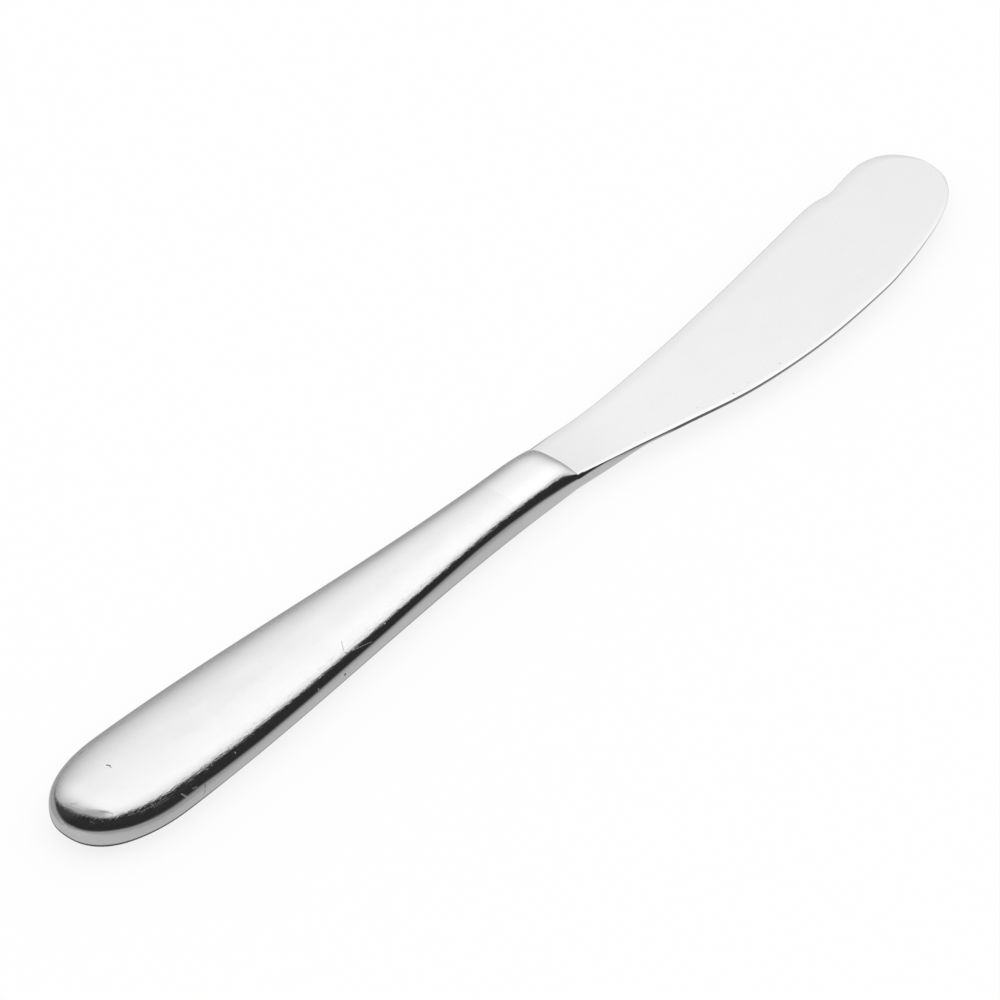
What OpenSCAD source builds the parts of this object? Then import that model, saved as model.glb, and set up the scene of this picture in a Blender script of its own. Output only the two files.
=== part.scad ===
// Butter knife with a hollow handle, lying on a table as it is laid beside a plate.
// X runs from the butt of the handle to the tip of the blade, Y towards the blunt back of
// the blade, and Z up from the table. The origin is on the table, under the middle of the
// shoulder, where the handle ends and the blade begins.

/* [Handle] */
// Length of the handle, from its butt end to the shoulder
handle_len = 85; // [75:1:100]
// Width of the handle at its broadest, near the butt
butt_w = 15.3; // [12:0.1:20]
// Distance from the butt end to the broadest place
butt_reach = 12; // [9:0.5:16]
// Width of the neck, just behind the shoulder
neck_w = 8.5; // [7.5:0.1:11]
// Distance from the shoulder back to where the neck stops narrowing
neck_back = 6.5; // [4:0.5:9]
// Thickness of the handle near the butt
butt_t = 5.4; // [5.2:0.1:8]
// Thickness of the handle at its waist, half way along
waist_t = 5.2; // [4.6:0.1:5.2]
// Thickness of the handle at the neck
neck_t = 5.4; // [5.2:0.1:7]
// Length over which the thickness closes at the butt end
end_round = 5; // [3.5:0.5:8]
// Depth of the resting flat below the waist's rounded underside
rest_cut = 0.06; // [0.04:0.01:0.12]

/* [Handle shells] */
// Sheet thickness of the two pressed half shells
shell_t = 0.8; // [0.5:0.05:1]
// Height of the brazed seam between the two half shells
seam_gap = 0.15; // [0.1:0.01:0.25]
// Distance from the shoulder back to the open mouth of the shells
mouth_back = 11; // [9.5:0.5:16]
// Width of the brazed joint between the mouth and the bolster
mouth_gap = 0.15; // [0.1:0.01:0.25]

/* [Bolster and tang] */
// Length of the rounded end of the handle's top, down to the blade
step_len = 4.5; // [3:0.5:6]
// Length of that rounded end at its two sides
side_step_len = 9; // [6:0.5:9]
// Length of the bolster's underside past the shoulder
nose_len = 14; // [10:0.5:20]
// Length of the plug that sits inside the mouth of the shells
plug_len = 3; // [2:0.5:5]
// Clearance between the plug and the inside of the shells
plug_clear = 0.05; // [0.03:0.01:0.1]
// Length of the tang behind the plug
tang_len = 44; // [30:1:50]
// Width of the tang at the plug
tang_w = 4.4; // [3.5:0.1:5]
// Width of the tang at its end
tang_end_w = 3.4; // [2.6:0.1:3.5]
// Thickness of the tang
tang_t = 2; // [1.4:0.1:2.4]
// Depth of each gripping notch in the sides of the tang
notch_d = 0.5; // [0.2:0.05:0.8]
// Length of each gripping notch
notch_len = 3; // [2:0.5:5]

/* [Blade] */
// Length of the blade, from the shoulder to the tip
blade_len = 85.6; // [70:0.2:110]
// Farthest reach of the blunt back from the knife's middle line
back_reach = 10.45; // [8:0.05:13]
// Farthest reach of the spreading edge from the knife's middle line
edge_reach = 10.35; // [8:0.05:13]
// Height of the blade's top face above the middle of the handle
blade_rise = 0.5; // [0.3:0.05:0.8]
// Extra height of the blade's top face at the shoulder
root_lift = 0.4; // [0.2:0.05:0.6]
// Length over which that extra height runs out
root_len = 12; // [8:1:20]
// Thickness of the blade along its back, at the shoulder
back_root_t = 1.2; // [1:0.05:1.6]
// Thickness of the blade along its back, at the tip
back_tip_t = 0.6; // [0.45:0.05:0.9]
// Thickness of the spreading edge at the shoulder
edge_root_t = 0.7; // [0.6:0.05:1]
// Thickness of the spreading edge at the tip
edge_tip_t = 0.38; // [0.3:0.02:0.6]
// Width of the rounding along the back and the edge
edge_round = 0.2; // [0.15:0.05:0.5]
// Width of that rounding at the shoulder
root_round = 0.6; // [0.3:0.05:0.9]
// Length over which the wider rounding at the shoulder runs out
round_len = 6; // [4:0.5:10]

/* [Hidden] */

// Powers of the rounded curves: 2 gives an ellipse, and more gives squarer corners
section_power = 2.55;
plan_power = 2.1;
end_power = 2.2;
tang_power = 8;
step_power = 2.5;
side_step_power = 1.3;
root_round_power = 2;
edge_round_power = 4;

// Numbers of pieces that the curves are divided into
half_ring_n = 16;
butt_n = 10;
body_n = 18;
plug_n = 1;
bolster_n = 5;
step_n = 6;
span_n = 4;
tip_n = 7;
notches = 3;

// Outline of the blade from the shoulder to the tip: shares of blade_len along the knife, and
// shares of back_reach and edge_reach across it. The dip in the back comes just before the tip.
along_shares = [0, 0.1, 0.2, 0.34, 0.5, 0.665, 0.742, 0.785, 0.822, 0.858, 0.893, 0.93, 0.963, 0.988, 1];
back_shares = [0, 0.378, 0.402, 0.493, 0.636, 0.813, 0.9, 0.926, 0.896, 0.938, 0.986, 0.998, 0.919, 0.727, 0.41];
edge_shares = [0, 0.52, 0.69, 0.918, 0.999, 0.926, 0.833, 0.763, 0.691, 0.614, 0.517, 0.386, 0.208, -0.039, -0.414];

// Places along the handle, counted from the butt end, and the height of its middle plane
mid_z = waist_t / 2 - rest_cut;
waist_at = (butt_reach + handle_len - neck_back) / 2;
neck_at = handle_len - neck_back;
mouth_at = handle_len - mouth_back;
plug_at = mouth_at - plug_len;
tang_at = plug_at - tang_len;
half_seam = seam_gap / 2;

function clamp01(u) = min(max(u, 0), 1);
function ease(u) = let(c = clamp01(u)) c * c * (3 - 2 * c);
function blend(a, b, u) = a + (b - a) * u;
function arch(u, power) = pow(1 - pow(clamp01(abs(u)), power), 1 / power);
function reversed(list) = [for (i = [len(list) - 1:-1:0]) list[i]];

// Half width and half thickness of the handle at a distance from the butt end, drawn in by inset
function half_w(at, inset) = at < butt_reach
    ? (butt_w / 2 - inset) * arch((butt_reach - at) / (butt_reach - inset), plan_power)
    : blend(butt_w / 2, neck_w / 2, ease((at - butt_reach) / (neck_at - butt_reach))) - inset;
function long_t(at) = at < waist_at
    ? blend(butt_t, waist_t, ease((at - butt_reach) / (waist_at - butt_reach)))
    : blend(waist_t, neck_t, ease((at - waist_at) / (neck_at - waist_at)));
function half_t(at, inset) = (long_t(at) / 2 - inset)
    * (at < end_round ? arch((end_round - at) / (end_round - inset), end_power) : 1);

// Points across a rounded half section, from the back's side to the edge's side: share of the
// half width, and share of the half height that the rounded section reaches there
function across(k, power) = let(c = cos(180 * k / half_ring_n)) sign(c) * pow(abs(c), 2 / power);
function crown(k, power) = let(s = sin(180 * k / half_ring_n)) pow(abs(s), 2 / power);

// One half of a rounded section, above (side 1) or below (side -1) the seam. It is flat at
// floor_z where it would reach lower, which makes the flat that the handle rests on.
function half_ring(at, half_width, half_height, side, power, floor_z) = [
    for (k = [0:half_ring_n])
        [at - handle_len,
         half_width * across(k, power),
         max(mid_z + side * (half_seam + max(half_height - half_seam, 0) * crown(k, power)), floor_z)]
];
function handle_arc(at, inset, side) =
    half_ring(at, half_w(at, inset), half_t(at, inset), side, section_power, inset);
function handle_ring(at, inset) = concat(handle_arc(at, inset, 1), reversed(handle_arc(at, inset, -1)));

// Stations along the handle for a skin that is drawn in by inset. The first is its closed end.
function stations(inset) = concat(
    [for (i = [0:butt_n]) blend(butt_reach, inset, cos(90 * i / butt_n))],
    [for (i = [1:body_n]) blend(butt_reach, plug_at, i / body_n)],
    [for (i = [1:plug_n]) blend(plug_at, mouth_at, i / plug_n)]);

// A closed solid through rings of equally many points, with flat ends
module loft(rings) {
    n = len(rings[0]);
    last = len(rings) - 1;
    polyhedron(
        points = [for (ring = rings) for (p = ring) p],
        faces = concat(
            [for (i = [0:last - 1]) for (k = [0:n - 1])
                let(a = i * n + k, b = i * n + (k + 1) % n)
                for (f = [[a, b, b + n], [a, b + n, a + n]]) f],
            [[for (k = [n - 1:-1:0]) k]],
            [[for (k = [0:n - 1]) last * n + k]]));
}

// One pressed half shell: an outer and an inner skin that meet along the seam and at the mouth
module half_shell(side) {
    outer = stations(0);
    inner = stations(shell_t);
    m = half_ring_n + 1;
    n = 2 * m;
    last = len(outer) - 1;
    rings = [for (i = [1:last])
        concat(handle_arc(outer[i], 0, side), reversed(handle_arc(inner[i], shell_t, side)))];
    tips = [for (at = [outer[0], inner[0]]) [at - handle_len, 0, mid_z + side * half_seam]];
    tip = last * n;
    faces = concat(
        [for (i = [0:last - 2]) for (k = [0:n - 1])
            let(a = i * n + k, b = i * n + (k + 1) % n)
            for (f = [[a, b, b + n], [a, b + n, a + n]]) f],
        [for (k = [0:m - 2]) [tip, k + 1, k]],
        [for (k = [m:n - 2]) [tip + 1, k + 1, k]],
        [[tip, tip + 1, m], [tip, m, m - 1], [tip + 1, tip, 0], [tip + 1, 0, n - 1]],
        [for (k = [0:m - 2])
            let(a = (last - 1) * n + k, b = (last - 1) * n + n - 1 - k)
            for (f = [[a, a + 1, b - 1], [a, b - 1, b]]) f]);
    polyhedron(
        points = concat([for (ring = rings) for (p = ring) p], tips),
        faces = side > 0 ? faces : [for (f = faces) reversed(f)]);
}

// A smooth curve through a list of values, at span i and share u of that span
function through(list, i, u) =
    let(a = list[i - 1], b = list[i], c = list[i + 1], d = list[i + 2])
    0.5 * (2 * b + (c - a) * u + (2 * a - 5 * b + 4 * c - d) * u * u + (3 * b - a - 3 * c + d) * u * u * u);

// Outline lists with one more value at each end: the neck's before the shoulder, and beyond
// the tip the other side's, so that the curve turns smoothly round the tip
last_span = len(along_shares) - 1;
along_list = concat([-along_shares[1] * blade_len], along_shares * blade_len,
    [along_shares[last_span - 1] * blade_len]);
back_list = concat([neck_w / 2, neck_w / 2], [for (i = [1:last_span]) back_shares[i] * back_reach],
    [-edge_shares[last_span - 1] * edge_reach]);
edge_list = concat([-neck_w / 2, -neck_w / 2],
    [for (i = [1:last_span - 1]) -edge_shares[i] * edge_reach],
    [back_shares[last_span] * back_reach, back_shares[last_span - 1] * back_reach]);

// Places of the blade's sections as [span, share of it]. The last stays just short of the tip.
blade_places = concat(
    [for (i = [1:last_span - 1]) for (j = [0:span_n - 1]) [i, j / span_n]],
    [for (j = [0:tip_n - 1]) [last_span, sin(90 * j / tip_n)]]);

// Height above the middle plane of one point of the bolster's and blade's section, for the
// top (side 1) or the underside (side -1). x is counted from the shoulder, y_back and y_edge
// are the section's two sides there, and y is the point's place between them.
function skin_z(x, y, y_back, y_edge, k, side) =
    let(share = clamp01(x / blade_len),
        edge_t = blend(edge_root_t, edge_tip_t, share),
        back_t = blend(back_root_t, back_tip_t, share),
        width = y_back - y_edge,
        wall_z = (blade_rise - edge_t / 2) * ease((x + step_len) / (nose_len + step_len)),
        start_z = wall_z + side * half_seam,
        rise = blade_rise + root_lift * pow(1 - clamp01(x / root_len), 2),
        settled = ease(x / round_len),
        round_w = min(blend(root_round, edge_round, settled), width / 2),
        near_side = clamp01(min(y_back - y, y - y_edge) / round_w),
        flat_z = side > 0 ? rise : rise - blend(edge_t, back_t, (y - y_edge) / width),
        round_power = blend(root_round_power, edge_round_power, settled),
        slab_z = blend(start_z, flat_z, arch(1 - near_side, round_power)),
        full = half_t(handle_len + min(x, 0), 0) - half_seam)
    side > 0
        ? let(aside = pow(across(k, section_power), 4),
              shoulder_len = blend(step_len, side_step_len, aside),
              drop = arch(clamp01(1 + x / shoulder_len), blend(step_power, side_step_power, aside)))
          blend(slab_z, max(slab_z, start_z + full * crown(k, section_power)), drop)
        : let(drop = cos(90 * clamp01((x - step_len / 2) / (nose_len - step_len / 2))))
          max(min(slab_z, start_z - full * drop * crown(k, section_power)), -mid_z);

function blade_half_ring(x, y_back, y_edge, side) = [
    for (k = [0:half_ring_n])
        let(y = blend(y_edge, y_back, (across(k, section_power) + 1) / 2))
        [x, y, mid_z + skin_z(x, y, y_back, y_edge, k, side)]
];
function blade_ring(x, y_back, y_edge) = concat(
    blade_half_ring(x, y_back, y_edge, 1),
    reversed(blade_half_ring(x, y_back, y_edge, -1)));

// Rings of the tang from its free end to the plug, narrowed at each notch
function tang_width(at) = blend(tang_end_w, tang_w, (at - tang_at) / tang_len);
function tang_ring(at, narrow) =
    let(half = tang_width(at) / 2 - narrow)
    concat(half_ring(at, half, tang_t / 2, 1, tang_power, 0),
           reversed(half_ring(at, half, tang_t / 2, -1, tang_power, 0)));
notch_pitch = tang_len / (notches + 1);
tang_rings = concat(
    [tang_ring(tang_at, 0)],
    [for (i = [1:notches]) for (j = [-1, 1]) for (deep = j < 0 ? [0, notch_d] : [notch_d, 0])
        let(ramp = (notch_d - deep) * j)
        tang_ring(tang_at + i * notch_pitch + j * notch_len / 2 + ramp, deep)],
    [tang_ring(plug_at, 0)]);

// Section of the handle at the mouth, drawn in by inset, as points [y, z]
function mouth_section(inset) = [for (p = handle_ring(mouth_at, inset)) [p[1], p[2]]];
plug_inset = shell_t + plug_clear;
function plug_ring(at) = [for (p = mouth_section(plug_inset)) [at - handle_len, p[0], p[1]]];

module blade() {
    bolster_x = mouth_gap - mouth_back;
    bolster_places = concat(
        [for (i = [0:bolster_n - 1]) blend(bolster_x, -step_len, i / bolster_n)],
        [for (i = [0:step_n - 1]) step_len * (sin(90 * i / step_n) - 1)]);
    bolster_rings = [for (x = bolster_places)
        let(half = half_w(handle_len + x, 0))
        blade_ring(x, half, -half)];
    blade_rings = [for (place = blade_places)
        blade_ring(through(along_list, place[0], place[1]),
                   through(back_list, place[0], place[1]),
                   through(edge_list, place[0], place[1]))];
    color([0.8, 0.81, 0.82])
        loft(concat(tang_rings, [plug_ring(plug_at), plug_ring(mouth_at + mouth_gap)],
                    bolster_rings, blade_rings));
}

module handle_upper_shell() {
    color([0.8, 0.81, 0.82])
        half_shell(1);
}

module handle_lower_shell() {
    color([0.76, 0.77, 0.78])
        half_shell(-1);
}

// The cement fills the shells up to the plug, with the tang bedded in it
module handle_filler() {
    cavity = [for (at = stations(shell_t)) if (at > shell_t && at <= plug_at) handle_ring(at, shell_t)];
    color([0.79, 0.74, 0.64])
        loft(concat(cavity, reversed(tang_rings)));
}

// The seam lies between the rims of the two half shells, from one side of the mouth round the butt
module seam_braze() {
    outer = stations(0);
    inner = stations(shell_t);
    last = len(outer) - 1;
    color([0.83, 0.8, 0.7])
        translate([-handle_len, 0, mid_z - half_seam])
            linear_extrude(height = seam_gap)
                polygon(concat(
                    [for (i = [last:-1:0]) [outer[i], half_w(outer[i], 0)]],
                    [for (i = [1:last]) [outer[i], -half_w(outer[i], 0)]],
                    [for (i = [last:-1:0]) [inner[i], -half_w(inner[i], shell_t)]],
                    [for (i = [1:last]) [inner[i], half_w(inner[i], shell_t)]]));
}

// The ring joint closes the mouth of the shells against the bolster
module mouth_braze() {
    color([0.83, 0.8, 0.7])
        translate([-mouth_back, 0, 0])
            rotate([90, 0, 90])
                linear_extrude(height = mouth_gap)
                    difference() {
                        polygon(mouth_section(0));
                        polygon(mouth_section(shell_t));
                    }
}

blade();
handle_upper_shell();
handle_lower_shell();
handle_filler();
seam_braze();
mouth_braze();
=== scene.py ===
"""Polished hollow-handled butter knife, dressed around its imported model.

Lengths are in millimetres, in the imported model's own frame, and become metres as they go into
Blender. X runs from the butt of the handle to the tip of the blade, Y towards the blunt back of
the blade, and Z up from the table. The origin is under the shoulder between handle and blade.
"""
import math

import bpy
import numpy as np
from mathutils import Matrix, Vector


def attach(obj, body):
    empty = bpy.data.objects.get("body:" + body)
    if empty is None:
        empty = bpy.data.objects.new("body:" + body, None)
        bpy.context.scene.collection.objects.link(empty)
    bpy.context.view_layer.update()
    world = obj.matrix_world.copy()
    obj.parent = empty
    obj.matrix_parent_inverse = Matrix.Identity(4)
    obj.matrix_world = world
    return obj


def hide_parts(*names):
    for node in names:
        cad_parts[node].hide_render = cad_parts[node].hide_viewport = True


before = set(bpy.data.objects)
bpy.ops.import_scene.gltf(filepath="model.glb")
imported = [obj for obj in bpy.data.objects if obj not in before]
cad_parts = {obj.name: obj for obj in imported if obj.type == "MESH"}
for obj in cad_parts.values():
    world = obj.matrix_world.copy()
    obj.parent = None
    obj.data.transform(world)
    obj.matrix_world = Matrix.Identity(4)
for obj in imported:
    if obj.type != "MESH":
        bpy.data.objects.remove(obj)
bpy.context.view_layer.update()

MM = 0.001
tiny = 1e-12

# Sizes of the handle
handle_len = 85.0
butt_w = 15.3
butt_reach = 12.0
neck_w = 8.5
neck_back = 6.5
butt_t = 5.4
waist_t = 5.2
neck_t = 5.4
end_round = 5.0
rest_cut = 0.06
shell_t = 0.8
seam_gap = 0.15
mouth_back = 11.0
mouth_gap = 0.15

# Sizes of the bolster and the tang
step_len = 4.5
side_step_len = 9.0
nose_len = 14.0
plug_len = 3.0
plug_clear = 0.05
tang_len = 44.0
tang_w = 4.4
tang_end_w = 3.4
tang_t = 2.0
notch_d = 0.5
notch_len = 3.0
notches = 3

# Sizes of the blade
blade_len = 85.6
back_reach = 10.45
edge_reach = 10.35
blade_rise = 0.5
root_lift = 0.4
root_len = 12.0
back_root_t = 1.2
back_tip_t = 0.6
edge_root_t = 0.7
edge_tip_t = 0.38
edge_round = 0.2
root_round = 0.6
round_len = 6.0

# Finish of the blade's top face: a soft roll along the back and a fine bevel along the edge
back_roll_w = 1.8
back_roll_drop = 0.08
edge_bevel_w = 0.7
edge_bevel_drop = 0.07

# Powers of the rounded curves
section_power = 2.55
plan_power = 2.1
end_power = 2.2
tang_power = 8
step_power = 2.5
side_step_power = 1.3
aside_power = 4
lift_power = 2
finish_power = 2
root_round_power = 2
edge_round_power = 4

# Outline of the blade, as shares of its length and of the reach of its back and edge
along_shares = [0, 0.1, 0.2, 0.34, 0.5, 0.665, 0.742, 0.785,
                0.822, 0.858, 0.893, 0.93, 0.963, 0.988, 1]
back_shares = [0, 0.378, 0.402, 0.493, 0.636, 0.813, 0.9, 0.926,
               0.896, 0.938, 0.986, 0.998, 0.919, 0.727, 0.41]
edge_shares = [0, 0.52, 0.69, 0.918, 0.999, 0.926, 0.833, 0.763,
               0.691, 0.614, 0.517, 0.386, 0.208, -0.039, -0.414]

# Numbers of steps along the curves
half_ring_n = 72
butt_n = 56
body_n = 150
mouth_n = 4
bolster_n = 40
step_n = 60
span_n = 16
tip_n = 40

mid_z = waist_t / 2 - rest_cut
waist_at = (butt_reach + handle_len - neck_back) / 2
neck_at = handle_len - neck_back
mouth_at = handle_len - mouth_back
plug_at = mouth_at - plug_len
tang_at = plug_at - tang_len
half_seam = seam_gap / 2
nose_from = step_len / 2


def clamp01(u):
    """The value held between 0 and 1."""
    return np.clip(u, 0, 1)


def ease(u):
    """0 to 1 with a level start and end, as u goes from 0 to 1."""
    c = clamp01(u)
    return c * c * (3 - 2 * c)


def fade(value, start, end):
    """Eased share of the way that a value has gone from start to end."""
    return ease((value - start) / (end - start))


def mix(a, b, u):
    """The value at share u of the way from a to b."""
    return a + (b - a) * u


def arch(u, power):
    """A rounded fall from 1 to 0, as u goes from 0 to 1. Power 2 gives a quarter circle."""
    return (1 - clamp01(np.abs(u)) ** power) ** (1 / power)


def half_w(at, inset=0.0):
    """Half width of the handle at a distance from its butt end."""
    end = (butt_w / 2 - inset) * arch((butt_reach - at) / (butt_reach - inset), plan_power)
    rest = mix(butt_w / 2, neck_w / 2, fade(at, butt_reach, neck_at)) - inset
    return np.where(at < butt_reach, end, rest)


def half_t(at, inset=0.0):
    """Half thickness of the handle at a distance from its butt end."""
    near = mix(butt_t, waist_t, fade(at, butt_reach, waist_at))
    far = mix(waist_t, neck_t, fade(at, waist_at, neck_at))
    end = np.where(at < end_round, arch((end_round - at) / (end_round - inset), end_power), 1.0)
    return (np.where(at < waist_at, near, far) / 2 - inset) * end


# A half section is drawn by a turn from 0, on the back's side, to pi, on the edge's side
turns = np.linspace(0, math.pi, half_ring_n + 1)


def across(power):
    """Places across a half section, from 1 to -1."""
    c = np.cos(turns)
    return np.sign(c) * np.abs(c) ** (2 / power)


def crown(power):
    """Heights of a half section, from 0 up to 1 and back."""
    return np.abs(np.sin(turns)) ** (2 / power)


def half_rings(at, half_width, half_height, side, power, floor_z):
    """Points [station, turn] of a rounded skin above (side 1) or below (side -1) the seam."""
    at, half_width, half_height = (np.atleast_1d(v)[:, None] for v in (at, half_width, half_height))
    y = half_width * across(power)
    rise = half_seam + np.maximum(half_height - half_seam, 0) * crown(power)
    z = np.maximum(mid_z + side * rise, floor_z)
    return np.stack([np.broadcast_to(at - handle_len, y.shape), y, z], -1)


def closed(draw_half):
    """Whole rings, from a function that draws the half rings of side 1 and of side -1."""
    return np.concatenate([draw_half(1), draw_half(-1)[:, ::-1]], 1)


def handle_rings(at, inset, side):
    """Half rings of the handle's skin, drawn in by inset."""
    return half_rings(at, half_w(at, inset), half_t(at, inset), side, section_power, inset)


def mouth_ring(inset):
    """The whole ring of the handle's skin at the mouth of the shells."""
    return closed(lambda side: handle_rings(mouth_at, inset, side))[0]


def stations(inset):
    """Distances from the butt end for a skin that is drawn in by inset. The first is its closed end."""
    butt = mix(butt_reach, inset, np.cos(np.linspace(0, math.pi / 2, butt_n + 1)))
    body = np.linspace(butt_reach, plug_at, body_n + 1)[1:]
    mouth = np.linspace(plug_at, mouth_at, mouth_n + 1)[1:]
    return np.concatenate([butt, body, mouth])


# Outline of the blade, with one more place before its root and one more past its tip
last_span = len(along_shares) - 1
along_list = np.array([-along_shares[1], *along_shares, along_shares[-2]]) * blade_len
back_list = np.array([neck_w / 2, neck_w / 2, *(s * back_reach for s in back_shares[1:]),
                      -edge_shares[-2] * edge_reach])
edge_list = np.array([-neck_w / 2, -neck_w / 2, *(-s * edge_reach for s in edge_shares[1:-1]),
                      back_shares[-1] * back_reach, back_shares[-2] * back_reach])


def through(values, i, u):
    """A smooth curve through the values, at share u of the span that starts at value i."""
    a, b, c, d = values[i - 1], values[i], values[i + 1], values[i + 2]
    bend = 2 * a - 5 * b + 4 * c - d
    twist = 3 * b - a - 3 * c + d
    return b + ((c - a) * u + bend * u ** 2 + twist * u ** 3) / 2


def blade_outline():
    """Distance past the shoulder, back and edge at each station of the blade."""
    span = np.repeat(np.arange(1, last_span), span_n)
    share = np.tile(np.arange(span_n) / span_n, last_span - 1)
    span = np.concatenate([span, np.full(tip_n, last_span)])
    share = np.concatenate([share, np.sin(math.pi / 2 * np.arange(tip_n) / tip_n)])
    return [through(values, span, share) for values in (along_list, back_list, edge_list)]


def top_rise(x):
    """Height of the blade's top face above the middle plane, raised in a curve at the shoulder."""
    return blade_rise + root_lift * (1 - clamp01(x / root_len)) ** lift_power


def finish_drop(y, y_back, y_edge):
    """Depth of the roll along the back and of the bevel along the edge."""
    roll = back_roll_drop * (1 - clamp01((y_back - y) / back_roll_w)) ** finish_power
    return roll + edge_bevel_drop * (1 - clamp01((y - y_edge) / edge_bevel_w)) ** finish_power


def skin_z(x, y, y_back, y_edge, side):
    """Height above the middle plane of the bolster's and blade's top (side 1) or underside (side -1).

    The blade is a slab with rounded rims. The bolster is a dome that goes down to the slab, in a
    short step on top and in a long nose below.
    """
    share = clamp01(x / blade_len)
    edge_t = mix(edge_root_t, edge_tip_t, share)
    back_t = mix(back_root_t, back_tip_t, share)
    width = y_back - y_edge
    wall_z = (blade_rise - edge_t / 2) * fade(x, -step_len, nose_len)
    start_z = wall_z + side * half_seam
    settled = fade(x, 0, round_len)
    round_w = mix(root_round, edge_round, settled)
    near_side = np.minimum(y_back - y, y - y_edge) / np.minimum(round_w, width / 2)
    if side > 0:
        flat_z = top_rise(x) - finish_drop(y, y_back, y_edge)
    else:
        flat_z = top_rise(x) - mix(edge_t, back_t, (y - y_edge) / width)
    round_power = mix(root_round_power, edge_round_power, settled)
    slab_z = mix(start_z, flat_z, arch(1 - clamp01(near_side), round_power))
    full = half_t(handle_len + np.minimum(x, 0)) - half_seam
    if side > 0:
        aside = across(section_power) ** aside_power
        shoulder_len = mix(step_len, side_step_len, aside)
        drop = arch(clamp01(1 + x / shoulder_len), mix(step_power, side_step_power, aside))
        dome_z = np.maximum(start_z + full * crown(section_power), slab_z)
        return mix(slab_z, dome_z, drop)
    drop = np.cos(math.pi / 2 * clamp01((x - nose_from) / (nose_len - nose_from)))
    dome_z = start_z - full * drop * crown(section_power)
    return np.maximum(np.minimum(slab_z, dome_z), -mid_z)


def blade_half_rings(x, y_back, y_edge, side):
    """Half rings of the bolster and the blade, from back to edge."""
    x, y_back, y_edge = (v[:, None] for v in (x, y_back, y_edge))
    y = mix(y_edge, y_back, (across(section_power) + 1) / 2)
    z = mid_z + skin_z(x, y, y_back, y_edge, side)
    return np.stack([np.broadcast_to(x, y.shape), y, z], -1)


def tang_rings():
    """Rings of the tang from its free end to the plug, narrowed at each notch."""
    pitch = tang_len / (notches + 1)
    inner = notch_len / 2
    outer = inner + notch_d
    places = [(tang_at, 0)]
    for i in range(1, notches + 1):
        middle = tang_at + i * pitch
        places += [(middle - outer, 0), (middle - inner, notch_d)]
        places += [(middle + inner, notch_d), (middle + outer, 0)]
    places.append((plug_at, 0))
    at, narrow = np.array(places).T
    half = mix(tang_end_w, tang_w, (at - tang_at) / tang_len) / 2 - narrow
    thick = np.full(len(at), tang_t / 2)
    return closed(lambda side: half_rings(at, half, thick, side, tang_power, 0))


def plug_rings():
    """The two rings of the plug in the mouth of the shells."""
    behind = mouth_ring(shell_t + plug_clear)
    ahead = behind.copy()
    behind[:, 0] = plug_at - handle_len
    ahead[:, 0] = mouth_gap - mouth_back
    return np.stack([behind, ahead])


def blade_rings():
    """Rings of the bolster and the blade, from the mouth of the shells to the tip."""
    x_neck = np.linspace(mouth_gap - mouth_back, -step_len, bolster_n, endpoint=False)
    x_step = step_len * (np.sin(np.linspace(0, math.pi / 2, step_n, endpoint=False)) - 1)
    x_bolster = np.concatenate([x_neck, x_step])
    half = half_w(handle_len + x_bolster)
    bolster = (x_bolster, half, -half)
    x, y_back, y_edge = (np.concatenate(pair) for pair in zip(bolster, blade_outline()))
    return closed(lambda side: blade_half_rings(x, y_back, y_edge, side))


def knife_skin():
    """The whole skin that shows, in rings from the butt to the tip."""
    handle = closed(lambda side: handle_rings(stations(0)[1:], 0, side))
    return np.concatenate([handle, blade_rings()])


# Meshes
smooth_angle = math.radians(28)


def make_mesh(name, points, faces):
    """A smooth-shaded mesh object, from points in millimetres."""
    mesh = bpy.data.meshes.new(name)
    mesh.from_pydata([tuple(p) for p in np.asarray(points) * MM], [], faces)
    mesh.validate()
    mesh.polygons.foreach_set("use_smooth", [True] * len(mesh.polygons))
    mesh.set_sharp_from_angle(angle=smooth_angle)
    piece = bpy.data.objects.new(name, mesh)
    bpy.context.scene.collection.objects.link(piece)
    return piece


def ring_faces(count, n, hoop=False):
    """Faces between neighbouring rings of n points. The last ring of a hoop also meets its first."""
    spans = [(i * n, (i + 1) % count * n) for i in range(count if hoop else count - 1)]
    return [(a + k, a + (k + 1) % n, b + (k + 1) % n, b + k) for a, b in spans for k in range(n)]


def loft(name, rings):
    """A closed solid through rings of equally many points, with flat ends."""
    count, n = rings.shape[:2]
    last = (count - 1) * n
    faces = ring_faces(count, n)
    faces.append(tuple(range(n - 1, -1, -1)))
    faces.append(tuple(last + k for k in range(n)))
    return make_mesh(name, rings.reshape(-1, 3), faces)


def make_blade():
    """The forging: tang, plug, bolster and blade in one."""
    return loft("blade_polished", np.concatenate([tang_rings(), plug_rings(), blade_rings()]))


def make_shell(name, side):
    """A pressed half shell: an outer and an inner skin that meet along the seam and at the mouth."""
    outer = handle_rings(stations(0)[1:], 0, side)
    inner = handle_rings(stations(shell_t)[1:], shell_t, side)
    rings = np.concatenate([outer, inner[:, ::-1]], 1)
    count, n = rings.shape[:2]
    half = n // 2
    faces = ring_faces(count, n)
    # Both skins close at the butt in a fan round a tip point, with the seam's face between the tips
    tip = count * n
    faces += [(tip, k + 1, k) for k in range(half - 1)]
    faces += [(tip + 1, k + 1, k) for k in range(half, n - 1)]
    faces += [(tip, tip + 1, half, half - 1), (tip + 1, tip, 0, n - 1)]
    # The mouth's face runs from the outer skin to the inner one
    last = (count - 1) * n
    faces += [(last + k, last + k + 1, last + n - 2 - k, last + n - 1 - k) for k in range(half - 1)]
    seam_z = mid_z + side * half_seam
    tips = [[-handle_len, 0, seam_z], [shell_t - handle_len, 0, seam_z]]
    if side < 0:
        faces = [face[::-1] for face in faces]
    return make_mesh(name, np.concatenate([rings.reshape(-1, 3), tips]), faces)


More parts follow.
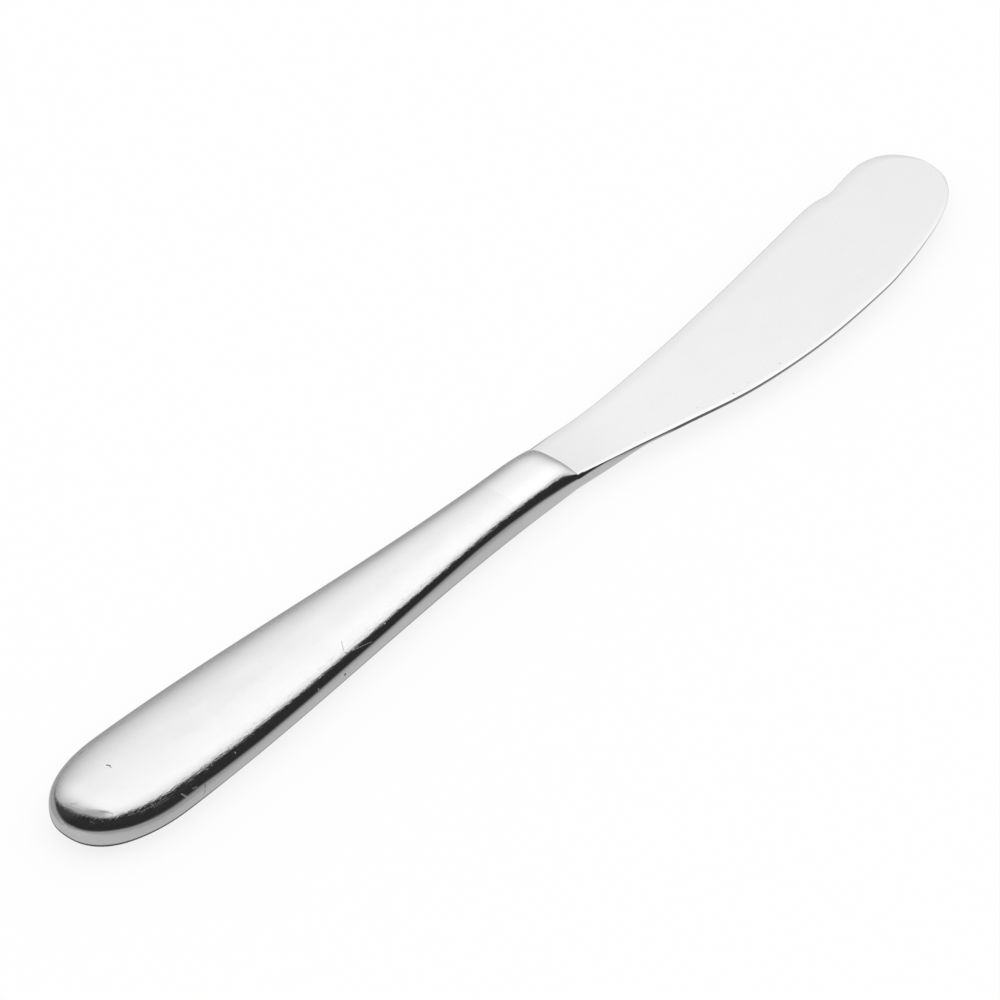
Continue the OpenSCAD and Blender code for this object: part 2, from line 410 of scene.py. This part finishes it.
def rim(inset):
    """Plan of a shell's rim: from the back's side of the mouth, round the butt, to the edge's side."""
    at = stations(inset)
    x, half = at - handle_len, half_w(at, inset)
    return np.concatenate([np.stack([x, half], 1)[::-1], np.stack([x, -half], 1)[1:]])


def make_seam():
    """The seam between the rims of the half shells."""
    outer, inner = rim(0), rim(shell_t)
    low, high = mid_z - half_seam, mid_z + half_seam
    corners = ((inner, low), (inner, high), (outer, high), (outer, low))
    rings = np.stack([np.column_stack([plan, np.full(len(plan), z)]) for plan, z in corners], 1)
    return loft("seam_line", rings)


def make_mouth_ring():
    """The ring joint between the mouth of the shells and the bolster."""
    outer, inner = mouth_ring(0), mouth_ring(shell_t)
    ahead = [mouth_gap, 0, 0]
    rings = np.stack([outer, outer + ahead, inner + ahead, inner])
    return make_mesh("mouth_line", rings.reshape(-1, 3), ring_faces(*rings.shape[:2], hoop=True))


# Node helpers
def new_material(name):
    """A material with its node tree."""
    material = bpy.data.materials.new(name)
    material.use_nodes = True
    return material, material.node_tree


def set_inputs(tree, node, values):
    """Each value that is a socket is linked to the node's input, and any other is set on it."""
    for socket, value in zip(node.inputs, values):
        if isinstance(value, bpy.types.NodeSocket):
            tree.links.new(value, socket)
        else:
            socket.default_value = value


def compute(tree, operation, *values):
    """A math node over sockets and plain numbers."""
    node = tree.nodes.new("ShaderNodeMath")
    node.operation = operation
    set_inputs(tree, node, values)
    return node.outputs["Value"]


def compute_vector(tree, operation, *values):
    """A vector math node over sockets and plain vectors."""
    node = tree.nodes.new("ShaderNodeVectorMath")
    node.operation = operation
    set_inputs(tree, node, values)
    return node.outputs["Value" if operation in ("DOT_PRODUCT", "DISTANCE") else "Vector"]


def remap(tree, value, source, target):
    """The value taken from the source range to the target range, held at its ends."""
    ranged = tree.nodes.new("ShaderNodeMapRange")
    tree.links.new(value, ranged.inputs["Value"])
    ranged.inputs["From Min"].default_value = source[0]
    ranged.inputs["From Max"].default_value = source[1]
    ranged.inputs["To Min"].default_value = target[0]
    ranged.inputs["To Max"].default_value = target[1]
    return ranged.outputs["Result"]


def coordinates(tree, kind):
    """Texture coordinates of a kind, whole and as their X, Y and Z."""
    place = tree.nodes.new("ShaderNodeTexCoord").outputs[kind]
    split = tree.nodes.new("ShaderNodeSeparateXYZ")
    tree.links.new(place, split.inputs[0])
    return place, split.outputs


def noise(tree, place, texture):
    """Noise from its grains to the millimetre, how far they are drawn out along the knife, and detail."""
    scale, stretch, detail = texture
    mapping = tree.nodes.new("ShaderNodeMapping")
    mapping.inputs["Scale"].default_value = (1 / (MM * stretch), 1 / MM, 1 / MM)
    tree.links.new(place, mapping.inputs["Vector"])
    node = tree.nodes.new("ShaderNodeTexNoise")
    node.inputs["Scale"].default_value = scale
    node.inputs["Detail"].default_value = detail
    tree.links.new(mapping.outputs["Vector"], node.inputs["Vector"])
    return node.outputs["Fac"]


def scratch_mask(tree, place, start, end, width):
    """1 on a straight scratch between two points in millimetres, and 0 away from it."""
    start, end = Vector(start) * MM, Vector(end) * MM
    along = end - start
    offset = compute_vector(tree, "SUBTRACT", place, start)
    dot = compute_vector(tree, "DOT_PRODUCT", offset, along / max(along.length_squared, tiny))
    share = remap(tree, dot, (0, 1), (0, 1))
    foot = compute_vector(tree, "MULTIPLY", along, share)
    gap = compute_vector(tree, "DISTANCE", offset, foot)
    return remap(tree, gap, (width * MM / 2, width * MM), (1, 0))


def mark(tree, rough, tone, mask, added, shade):
    """Roughness and tone under a mark: where its mask is 1, rougher by added and times shade."""
    rough = compute(tree, "ADD", rough, compute(tree, "MULTIPLY", mask, added))
    tone = compute(tree, "MULTIPLY", tone, remap(tree, mask, (0, 1), (1, shade)))
    return rough, tone


def set_colour(tree, shader, tone, tint=(1, 1, 1)):
    """Base colour from one tone and a tint."""
    colour = tree.nodes.new("ShaderNodeCombineColor")
    for channel, share in zip(("Red", "Green", "Blue"), tint):
        tree.links.new(compute(tree, "MULTIPLY", tone, share), colour.inputs[channel])
    tree.links.new(colour.outputs["Color"], shader.inputs["Base Color"])


def add_bumps(tree, shader, layers):
    """Bump maps one over the other, each a height between 0 and 1 and its depth in millimetres."""
    normal = None
    for height, depth in layers:
        bump = tree.nodes.new("ShaderNodeBump")
        bump.inputs["Distance"].default_value = depth * MM
        tree.links.new(height, bump.inputs["Height"])
        if normal:
            tree.links.new(normal, bump.inputs["Normal"])
        normal = bump.outputs["Normal"]
    tree.links.new(normal, shader.inputs["Normal"])


# Levels of a noise that count as its low and its high
even_levels = (0.3, 0.7)
line_levels = (0.35, 0.75)
grain_levels = (0.35, 0.65)
pore_levels = (0.64, 0.74)

# Steel: texture of its slow waves, polishing lines and blotches, and what they do
steel_waves = (0.22, 2.5, 1.0)
steel_lines = (5.0, 30.0, 2.0)
steel_blotches = (0.4, 2.0, 3.0)
steel_roughness = (0.05, 0.08)
steel_line_d = 0.0008
handle_tone = 0.7
handle_mottle = 0.012
handle_wave_d = 0.06
blade_tone = 0.725
blade_mottle = 0.005
blade_wave_d = 0.01

# Height band of the handle's worn shoulder line: where wear starts and is full, and its other side
wear_from = (4.0, 4.3)
wear_to = (4.6, 4.9)

# Specks everywhere, then scuffs and streaks in the worn line: texture, levels of it, whether they
# keep to the worn line, added roughness, shade and depth
steel_spots = [
    ((3.2, 1.0, 3.0), (0.66, 0.74), False, 0.14, 0.94, 0.001),
    ((3.4, 1.8, 3.0), (0.54, 0.66), True, 0.1, 0.95, 0.008),
    ((5.0, 7.0, 2.0), (0.5, 0.62), True, 0.06, 0.97, 0.009)]

# Nicks and scratches of use: start, end, width, added roughness and shade
handle_scratches = [
    ((-76.24, 1.82, 5.21), (-76.12, 1.48, 5.22), 0.14, 0.4, 0.3),
    ((-76.12, 1.48, 5.22), (-76.24, 1.11, 5.23), 0.09, 0.3, 0.5),
    ((-43.37, -3.81, 4.83), (-44.17, -4.85, 4.52), 0.06, 0.3, 0.55),
    ((-44.2, -5.1, 4.42), (-44.05, -5.35, 4.33), 0.1, 0.3, 0.4),
    ((-45.68, -6.40, 2.73), (-45.68, -6.40, 2.73), 0.24, 0.3, 0.12),
    ((-73.36, -6.96, 4.05), (-73.0, -7.39, 3.61), 0.13, 0.8, 1.35),
    ((-70.14, -7.44, 3.49), (-70.54, -7.64, 2.45), 0.12, 0.3, 0.5),
    ((-79.9, -5.22, 4.46), (-78.46, -5.79, 4.41), 0.1, 0.16, 1.1),
    ((-78.46, -5.79, 4.41), (-76.91, -6.15, 4.36), 0.1, 0.16, 1.1),
    ((-76.91, -6.15, 4.36), (-74.08, -6.45, 4.35), 0.09, 0.14, 1.1),
    ((-77.08, -6.29, 4.27), (-74.86, -6.55, 4.28), 0.1, 0.2, 1.1),
    ((-71.3, -6.32, 4.42), (-67.91, -6.39, 4.36), 0.1, 0.18, 1.1),
    ((-67.91, -6.39, 4.36), (-63.86, -6.39, 4.3), 0.08, 0.16, 1.1),
    ((-71.81, -7.15, 3.88), (-71.24, -7.25, 3.78), 0.1, 0.5, 1.2),
    ((-81.77, -2.7, 4.93), (-81.05, -3.88, 4.8), 0.12, 0.2, 0.7),
    ((-82.96, 0.7, 4.81), (-82.5, 0.14, 4.95), 0.1, 0.2, 0.8),
    ((-83.08, 0.38, 4.77), (-82.68, -1.22, 4.88), 0.12, 0.3, 1.15),
    ((-83.29, -2.59, 4.41), (-83.15, -3.06, 4.33), 0.1, 0.3, 1.1),
    ((-84.63, 0.82, 3.65), (-84.74, 0.29, 3.53), 0.12, 0.5, 1.3),
    ((-43.20, -5.37, 4.22), (-40.27, -5.66, 3.76), 0.07, 0.6, 1.2),
    ((-50.29, -6.47, 3.63), (-50.29, -6.47, 3.63), 0.16, 0.9, 1.3),
    ((-37.17, -5.02, 4.18), (-37.17, -5.02, 4.18), 0.16, 0.9, 1.3),
    ((-64.57, -6.84, 4.03), (-64.57, -6.84, 4.03), 0.16, 0.9, 1.3),
    ((-84.83, -0.05, 3.37), (-84.6, -2.14, 2.94), 0.1, 0.4, 1.25)]
blade_scratches = [
    ((25.99, -8.24, 3.04), (25.99, -8.24, 3.04), 0.16, 0.3, 0.45),
    ((26.07, -8.33, 3.04), (29.99, -9.52, 3.04), 0.05, 0.2, 0.85),
    ((29.04, -8.24, 3.04), (29.04, -8.24, 3.04), 0.12, 0.3, 0.7),
    ((34.94, -8.87, 3.04), (34.94, -8.87, 3.04), 0.14, 0.3, 0.6),
    ((33.19, -9.19, 3.04), (34.88, -9.85, 3.04), 0.06, 0.2, 0.9),
    ((37.52, -9.64, 3.04), (43.10, -10.17, 3.04), 0.05, 0.2, 0.88),
    ((20.65, -6.47, 3.04), (20.65, -6.47, 3.04), 0.12, 0.3, 0.75),
    ((20.54, -6.67, 3.04), (23.01, -7.96, 3.04), 0.05, 0.2, 0.9),
    ((12.32, -4.79, 3.04), (12.32, -4.79, 3.04), 0.12, 0.3, 0.7),
    ((11.84, -5.97, 3.04), (18.17, -7.39, 3.04), 0.05, 0.2, 0.9)]

# Cement: texture of its grains and blotches, the tones and roughness they give, colour and depths
cement_grains = (3.5, 1.0, 4.0)
cement_blotches = (0.3, 1.0, 3.0)
cement_grain_tones = (0.8, 1.08)
cement_blotch_tones = (0.9, 1.05)
cement_roughness = (0.95, 0.8)
cement_colour = (0.62, 0.56, 0.46)
cement_grain_d = 0.08
cement_blotch_d = 0.2

# Braze: texture of its runs and pores, the tones and roughness they give, tint and depth
braze_runs = (0.8, 4.0, 2.0)
braze_pores = (5.0, 1.0, 3.0)
braze_tones = (0.69, 0.71)
braze_roughness = (0.06, 0.1)
braze_pore_roughness = 0.15
braze_pore_shade = 0.9
braze_tint = (1.0, 0.995, 0.975)
braze_d = 0.002


def make_steel(name, base, mottle, wave_d, scratches):
    """Polished steel with slow waves, lengthwise polishing lines, a worn shoulder line and scratches."""
    material, tree = new_material(name)
    shader = tree.nodes["Principled BSDF"]
    shader.inputs["Metallic"].default_value = 1.0
    place, axes = coordinates(tree, "Object")
    waves = noise(tree, place, steel_waves)
    lines = noise(tree, place, steel_lines)
    blotches = noise(tree, place, steel_blotches)
    rough = remap(tree, lines, line_levels, steel_roughness)
    tone = remap(tree, blotches, even_levels, (base - mottle, base + mottle))
    above = remap(tree, axes["Z"], [z * MM for z in wear_from], (0, 1))
    below = remap(tree, axes["Z"], [z * MM for z in wear_to], (1, 0))
    wear = compute(tree, "MULTIPLY", above, below)
    layers = [(waves, wave_d), (lines, steel_line_d)]
    for texture, levels, worn, added, shade, depth in steel_spots:
        spots = remap(tree, noise(tree, place, texture), levels, (0, 1))
        if worn:
            spots = compute(tree, "MULTIPLY", spots, wear)
        rough, tone = mark(tree, rough, tone, spots, added, shade)
        layers.append((spots, depth))
    for start, end, width, added, shade in scratches:
        mask = scratch_mask(tree, place, start, end, width)
        rough, tone = mark(tree, rough, tone, mask, added, shade)
    set_colour(tree, shader, tone)
    tree.links.new(rough, shader.inputs["Roughness"])
    add_bumps(tree, shader, layers)
    return material


def make_cement():
    """Set cement: matt, with sandy grains and darker blotches."""
    material, tree = new_material("handle_cement")
    shader = tree.nodes["Principled BSDF"]
    place, _ = coordinates(tree, "Object")
    grains = noise(tree, place, cement_grains)
    blotches = noise(tree, place, cement_blotches)
    grain_tone = remap(tree, grains, grain_levels, cement_grain_tones)
    blotch_tone = remap(tree, blotches, even_levels, cement_blotch_tones)
    set_colour(tree, shader, compute(tree, "MULTIPLY", grain_tone, blotch_tone), cement_colour)
    tree.links.new(remap(tree, grains, even_levels, cement_roughness), shader.inputs["Roughness"])
    add_bumps(tree, shader, [(grains, cement_grain_d), (blotches, cement_blotch_d)])
    return material


def make_braze():
    """Silver braze polished flush with the steel, a little warmer and duller, with fine pores."""
    material, tree = new_material("silver_braze")
    shader = tree.nodes["Principled BSDF"]
    shader.inputs["Metallic"].default_value = 1.0
    place, _ = coordinates(tree, "Object")
    runs = noise(tree, place, braze_runs)
    pores = remap(tree, noise(tree, place, braze_pores), pore_levels, (0, 1))
    rough = remap(tree, runs, even_levels, braze_roughness)
    tone = remap(tree, runs, even_levels, braze_tones)
    rough, tone = mark(tree, rough, tone, pores, braze_pore_roughness, braze_pore_shade)
    set_colour(tree, shader, tone, braze_tint)
    tree.links.new(rough, shader.inputs["Roughness"])
    add_bumps(tree, shader, [(runs, braze_d), (pores, braze_d)])
    return material


# Camera, where the photograph was taken from
look_at = (-9.32, 0.86, 2.59)
view_azimuth = -49.664
view_elevation = 39.014
view_distance = 450.0
focal_share = 3.6531
sensor_w = 36.0
near_clip = 10.0


def direction(azimuth, elevation):
    """Unit vector towards an azimuth from +X towards +Y and an elevation, both in degrees."""
    a, e = math.radians(azimuth), math.radians(elevation)
    return Vector((math.cos(a) * math.cos(e), math.sin(a) * math.cos(e), math.sin(e)))


def make_camera():
    """The camera. At an azimuth of 0 it would stand towards -Y, and it looks back from there."""
    data = bpy.data.cameras.new("camera")
    data.sensor_width = sensor_w
    data.lens = focal_share * sensor_w
    data.clip_start = near_clip * MM
    made = bpy.data.objects.new("camera", data)
    bpy.context.scene.collection.objects.link(made)
    back = direction(view_azimuth - 90, view_elevation)
    made.location = (Vector(look_at) + back * view_distance) * MM
    made.rotation_mode = "QUATERNION"
    made.rotation_quaternion = (-back).to_track_quat("-Z", "Y")
    bpy.context.scene.camera = made
    return made


# Studio: a pale floor and a soft sky, and cards that mirrors alone see. The cards are painted
# reflections of the dark room, the pale wall and the grey table that the real knife mirrors
floor_half = 8000.0
floor_grey = 0.2
floor_roughness = 0.9
floor_glow = 0.801

# Light of the sky at the horizon and high up, the height of that as a sine, the key's azimuth and
# elevation, and the shares of the light away from the key and near it
horizon_light = 0.62
peak_light = 1.34
peak_sine = 0.82
key = (5, 45)
away_share = 0.66
near_share = 1.04
away_dots = (0.33, 1.0)

# These two cards paint reflections on the steel: painted dark bands on the handle and in the edge's wall,
# and a painted pale rim at the tip
# The dark and the tip card hug the skin: each point of them lies out from the skin, along the line
# of sight that is mirrored there. How far they cover what is behind them depends on where that line
# goes on. The dark card takes it out through a tube along the knife and a ball round the butt
card_gap = 1.2
painted_dark_light = 0.031
card_r = 20.0
ball_x = -77.0
least_cover = 0.004

# Painted dark reflection on the tube: x, and its upper and lower edge in degrees above the level
# of the seam
side_edges = [
    (-77, 72, 8),
    (-71, 71.5, 10),
    (-63, 70, 12),
    (-60, 68, 8),
    (-52, 62, 1),
    (-43, 59.5, 0),
    (-34, 57.5, 1),
    (-25, 53.5, -1),
    (-16, 52, 2),
    (-7, 55, 8),
    (-1, 57.5, 6),
    (5, 55, -4),
    (8, 50, -9),
    (14, 46, -12),
    (30, 44, -12),
    (90, 44, -12)]

# How far its upper edge is soft outwards and inwards, the haze over it, how high that reaches and
# the power by which it thins out, how soft its lower edge is, and how long it fades out at its end
side_over = 3.0
side_inside = 6.0
side_haze = 0.33
haze_reach = 24.0
haze_power = 2
side_low_soft = 9.0
side_fade = 30.0

# Painted dark reflection on the ball: azimuth, its upper and lower edge in degrees, its cover, the
# cover above it, and the softness of its upper and lower edge
hood_edges = [
    (50, 9, 5, 0, 0, 3, 3),
    (90, 9, 5, 0.15, 0, 3, 3),
    (100, 13, 7, 0.4, 0.05, 3, 3),
    (110, 18, 11, 0.7, 0.13, 3, 3),
    (120, 25, 15, 0.93, 0.24, 3.5, 3),
    (130, 35, 15, 0.96, 0.5, 4.5, 4),
    (140, 46, 15, 0.96, 0.52, 8, 5),
    (150, 56, 13, 0.97, 0.55, 11, 6),
    (160, 61, 9, 1, 0.55, 6, 6),
    (170, 63, 12, 1, 0.55, 4.5, 6),
    (200, 66, 9, 1, 0.5, 4.5, 6),
    (250, 68, 5, 1, 0.4, 4, 6),
    (270, 70, 9, 1, 0.33, 4, 6)]

# Azimuths at which the cover above the darkness starts to thin out upwards, and fully does
hood_haze_azimuth = (190, 250)

# Painted dark reflection in the wall of the blade's edge: where it starts and is full along the blade,
# how far it reaches up, how far outwards it is full, its cover along the blade, and its share on the
# underside
edge_x = (4.0, 12.0)
edge_turn = 26.0
edge_soft = 14.0
edge_outward = 0.1
painted_edge_cover = [(4, 0.9), (15, 0.8), (25, 0.72), (45, 0.58), (70, 0.32), (85.6, 0.08)]
edge_under_shares = [(0, 0), (14, 0), (16, 1), (22, 1), (38, 0.1)]

# Painted dark reflection where the underside of the handle meets its own shadow on the table: x and
# cover, the elevation below which it is seen, and how far outwards the way goes where it starts and
# is full
painted_contact_cover = [(-73, 0.9), (-66, 0.35), (-30, 0.35), (0, 0)]
contact_turn = -30.0
contact_outward = (0.3, 0.0)

# Painted pale reflection on the rim of the tip: where it starts and is full along the blade, how far
# it reaches up, its cover and its light
tip_gap = 0.3
tip_x = (62.0, 78.0)
tip_turn = 18.0
tip_soft = 12.0
painted_tip_cover = 0.9
tip_light = 1.0

# Painted reflection of a grey table top: a glowing sheet just over the floor that mirrors alone see,
# lighter beside the knife
table_half = 300.0
table_z = 0.02
table_near_light = 0.63
table_far_light = 0.42
table_reach = (7.0, 19.0)


def make_square(name, half, z):
    """A level square in the middle of the table."""
    corners = [(-half, -half, z), (half, -half, z), (half, half, z), (-half, half, z)]
    return make_mesh(name, corners, [(0, 1, 2, 3)])


def make_floor():
    """A pale matt floor. Its glow shows to the camera and in mirrors, and lights nothing else."""
    floor = make_square("floor", floor_half, 0)
    material, tree = new_material("pale_floor")
    shader = tree.nodes["Principled BSDF"]
    shader.inputs["Base Color"].default_value = (floor_grey, floor_grey, floor_grey, 1)
    shader.inputs["Roughness"].default_value = floor_roughness
    shader.inputs["Specular IOR Level"].default_value = 0
    shader.inputs["Emission Color"].default_value = (1, 1, 1, 1)
    rays = tree.nodes.new("ShaderNodeLightPath").outputs
    seen = compute(tree, "MAXIMUM", rays["Is Camera Ray"], rays["Is Glossy Ray"])
    seen = compute(tree, "MAXIMUM", seen, rays["Is Transmission Ray"])
    glow = compute(tree, "MULTIPLY", seen, floor_glow)
    tree.links.new(glow, shader.inputs["Emission Strength"])
    floor.data.materials.append(material)


def make_world():
    """A soft white sky, brighter high up than at the horizon, and brighter near the key than away."""
    world = bpy.data.worlds.new("studio")
    bpy.context.scene.world = world
    world.use_nodes = True
    tree = world.node_tree
    background = tree.nodes["Background"]
    background.inputs["Color"].default_value = (1, 1, 1, 1)
    way, axes = coordinates(tree, "Generated")
    height = remap(tree, axes["Z"], (0, peak_sine), (horizon_light, peak_light))
    height.node.interpolation_type = "SMOOTHSTEP"
    towards_key = compute_vector(tree, "DOT_PRODUCT", way, direction(*key))
    share = remap(tree, towards_key, away_dots, (away_share, near_share))
    tree.links.new(compute(tree, "MULTIPLY", height, share), background.inputs["Strength"])


def new_glow(name):
    """A material with an emission shader, still to be linked to its output."""
    material, tree = new_material(name)
    tree.nodes.remove(tree.nodes["Principled BSDF"])
    return material, tree, tree.nodes.new("ShaderNodeEmission")


def set_up_card(card, material):
    """A card is on the stage, and mirrors alone see it."""
    card.data.materials.append(material)
    card.visible_camera = False
    card.visible_diffuse = False
    card.visible_transmission = False
    card.visible_volume_scatter = False
    card.visible_shadow = False


def make_table_card():
    """The painted reflection of a grey table top: a glowing sheet that mirrors see, lighter beside the
    knife.
    """
    material, tree, glow = new_glow("painted_table_reflection")
    _, axes = coordinates(tree, "Object")
    aside = compute(tree, "ABSOLUTE", axes["Y"])
    reach = [distance * MM for distance in table_reach]
    light = remap(tree, aside, reach, (table_near_light, table_far_light))
    tree.links.new(light, glow.inputs["Strength"])
    tree.links.new(glow.outputs[0], tree.nodes["Material Output"].inputs["Surface"])
    set_up_card(make_square("painted_table_card", table_half, table_z), material)


def unit(vectors):
    """The vectors at length 1."""
    return vectors / np.maximum(np.linalg.norm(vectors, axis=-1, keepdims=True), tiny)


def elevation(ways):
    """Degrees of unit ways above the horizon."""
    return np.degrees(np.arcsin(np.clip(ways[..., 2], -1, 1)))


def haze(turn, top):
    """Share of the haze over the darkness, thinning out above its upper edge."""
    return (1 - clamp01((turn - top) / haze_reach)) ** haze_power


def along_knife(points, table):
    """The table's value at each point's x. The table is a list of x and value."""
    places, values = zip(*table)
    return np.interp(points[..., 0], places, values)


def side_cover_at(points, ways):
    """Cover of the painted dark reflection, seen from the points along their ways through the tube."""
    y, z = points[..., 1], points[..., 2] - mid_z
    outward = ways[..., 1] ** 2 + ways[..., 2] ** 2 + tiny
    half = (y * ways[..., 1] + z * ways[..., 2]) / outward
    reach = np.sqrt(np.maximum(half ** 2 - (y ** 2 + z ** 2 - card_r ** 2) / outward, 0)) - half
    hit = points + reach[..., None] * ways
    turn = np.degrees(np.arctan2(hit[..., 2] - mid_z, -hit[..., 1]))
    side_x, side_top, side_low = zip(*side_edges)
    top = np.interp(hit[..., 0], side_x, side_top)
    low = np.interp(hit[..., 0], side_x, side_low)
    cover = np.sqrt(fade(turn, top + side_over, top - side_inside))
    cover = np.maximum(cover, side_haze * haze(turn, top))
    cover = cover * fade(turn, low - side_low_soft, low + side_low_soft)
    return cover * fade(hit[..., 0], side_x[-1], side_x[-1] - side_fade) * (hit[..., 0] > side_x[0])


def hood_cover_at(points, ways):
    """Cover of the painted dark reflection, seen from the points along their ways through the ball."""
    from_middle = points - [ball_x, 0, mid_z]
    half = (from_middle * ways).sum(-1)
    inside = card_r ** 2 - (from_middle ** 2).sum(-1)
    hit = from_middle + (np.sqrt(np.maximum(half ** 2 + inside, 0)) - half)[..., None] * ways
    turn = elevation(hit / card_r)
    azimuth = np.degrees(np.arctan2(hit[..., 1], hit[..., 0])) % 360
    azimuths, *columns = zip(*hood_edges)
    top, low, full, over, soft, low_soft = (np.interp(azimuth, azimuths, v) for v in columns)
    over = over * mix(1, haze(turn, top), fade(azimuth, *hood_haze_azimuth))
    cover = mix(over, full, fade(turn, top + soft, top - soft))
    cover = cover * fade(turn, low - low_soft, low + low_soft)
    within = (inside > 0) & (azimuth > azimuths[0]) & (azimuth < azimuths[-1])
    return np.where(within, cover, 0)


def edge_cover_at(points, ways):
    """Cover of the painted dark reflection in the wall of the blade's edge, on the camera's side."""
    cover = fade(elevation(ways), edge_turn + edge_soft, edge_turn)
    cover = cover * fade(-ways[..., 1], 0, edge_outward) * along_knife(points, painted_edge_cover)
    upper = np.arange(points.shape[1]) <= half_ring_n
    return cover * np.maximum(upper, along_knife(points, edge_under_shares))


def contact_cover_at(points, ways, normals):
    """Cover of the painted darkness seen where the underside turns in towards the table."""
    outward = (ways[..., :2] * unit(normals[..., :2])).sum(-1)
    cover = fade(outward, *contact_outward)
    return cover * along_knife(points, painted_contact_cover) * (elevation(ways) < contact_turn)


def painted_dark_cover_at(points, ways, normals):
    """Cover of all the painted darkness together: over the handle, and in the wall of the blade's edge.
    """
    clear = (1 - side_cover_at(points, ways)) * (1 - hood_cover_at(points, ways))
    clear = clear * (1 - contact_cover_at(points, ways, normals))
    return mix(1 - clear, edge_cover_at(points, ways), fade(points[..., 0], *edge_x))


def tip_cover_at(points, ways, normals):
    """Cover of the painted pale reflection on the rim of the tip."""
    cover = painted_tip_cover * fade(points[..., 0], *tip_x)
    return cover * fade(elevation(ways), tip_turn + tip_soft, tip_turn)


def mirrored_ways(points):
    """How a skin mirrors the camera's lines of sight.

    Returns the unit ways that the lines take from each point, the normals, and whether each point
    faces the camera.
    """
    normals = unit(np.cross(np.gradient(points, axis=0), np.gradient(points, axis=1)))
    # The crown of a ring, a quarter of the way round it, faces up
    rows, columns = points.shape[:2]
    normals *= np.sign(normals[rows // 2, columns // 4, 2])
    sight = unit(np.array(camera.location) / MM - points)
    facing = (normals * sight).sum(-1)
    return 2 * facing[..., None] * normals - sight, normals, facing > 0


def make_card(name, skin, gap, cover_at, light):
    """A card hugging a skin at a gap, which paints a reflection on it. Its cover goes from 0, clear, to
    1.
    """
    ways, normals, facing = mirrored_ways(skin)
    cover = cover_at(skin, ways, normals) * facing
    rows, columns = cover.shape
    faces = []
    for i in range(rows - 1):
        for k in range(columns - 1):
            corners = [(i, k), (i, k + 1), (i + 1, k + 1), (i + 1, k)]
            if max(cover[c] for c in corners) > least_cover and all(facing[c] for c in corners):
                faces.append([a * columns + b for a, b in corners])
    card = make_mesh(name, (skin + gap * ways).reshape(-1, 3), faces)
    covers = card.data.attributes.new("cover", "FLOAT", "POINT")
    covers.data.foreach_set("value", cover.ravel())
    material, tree, glow = new_glow(name)
    glow.inputs["Strength"].default_value = light
    pane = tree.nodes.new("ShaderNodeBsdfTransparent")
    share = tree.nodes.new("ShaderNodeAttribute")
    share.attribute_name = "cover"
    blend = tree.nodes.new("ShaderNodeMixShader")
    set_inputs(tree, blend, (share.outputs["Fac"], pane.outputs[0], glow.outputs[0]))
    tree.links.new(blend.outputs[0], tree.nodes["Material Output"].inputs["Surface"])
    set_up_card(card, material)


# The pieces, each in place of its node, and the filler, which keeps its own mesh
handle_steel = make_steel("handle_steel", handle_tone, handle_mottle, handle_wave_d, handle_scratches)
blade_steel = make_steel("blade_steel", blade_tone, blade_mottle, blade_wave_d, blade_scratches)
braze = make_braze()
for piece, node, slot, material in (
        (make_blade(), "blade", "blade_steel", blade_steel),
        (make_shell("handle_upper_polished", 1), "handle_upper_shell", "handle_steel", handle_steel),
        (make_shell("handle_lower_polished", -1), "handle_lower_shell", "handle_steel", handle_steel),
        (make_seam(), "seam_braze", "braze_alloy", braze),
        (make_mouth_ring(), "mouth_braze", "braze_alloy", braze)):
    piece.data.materials.append(material)
    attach(piece, "root")
    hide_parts(node)
filler_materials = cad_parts["handle_filler"].data.materials
filler_materials.clear()
filler_materials.append(make_cement())

camera = make_camera()
make_floor()
make_world()
whole_skin = knife_skin()
# The dark card paints dark reflections on the handle and in the wall of the blade's edge
make_card("painted_dark_card", whole_skin, card_gap, painted_dark_cover_at, painted_dark_light)
# The tip card paints a pale reflection on the rim of the tip
make_card("painted_tip_card", whole_skin, tip_gap, tip_cover_at, tip_light)
# The table card paints the reflection of a grey table top, lighter beside the knife
make_table_card()

bpy.context.scene.view_settings.view_transform = "Standard"
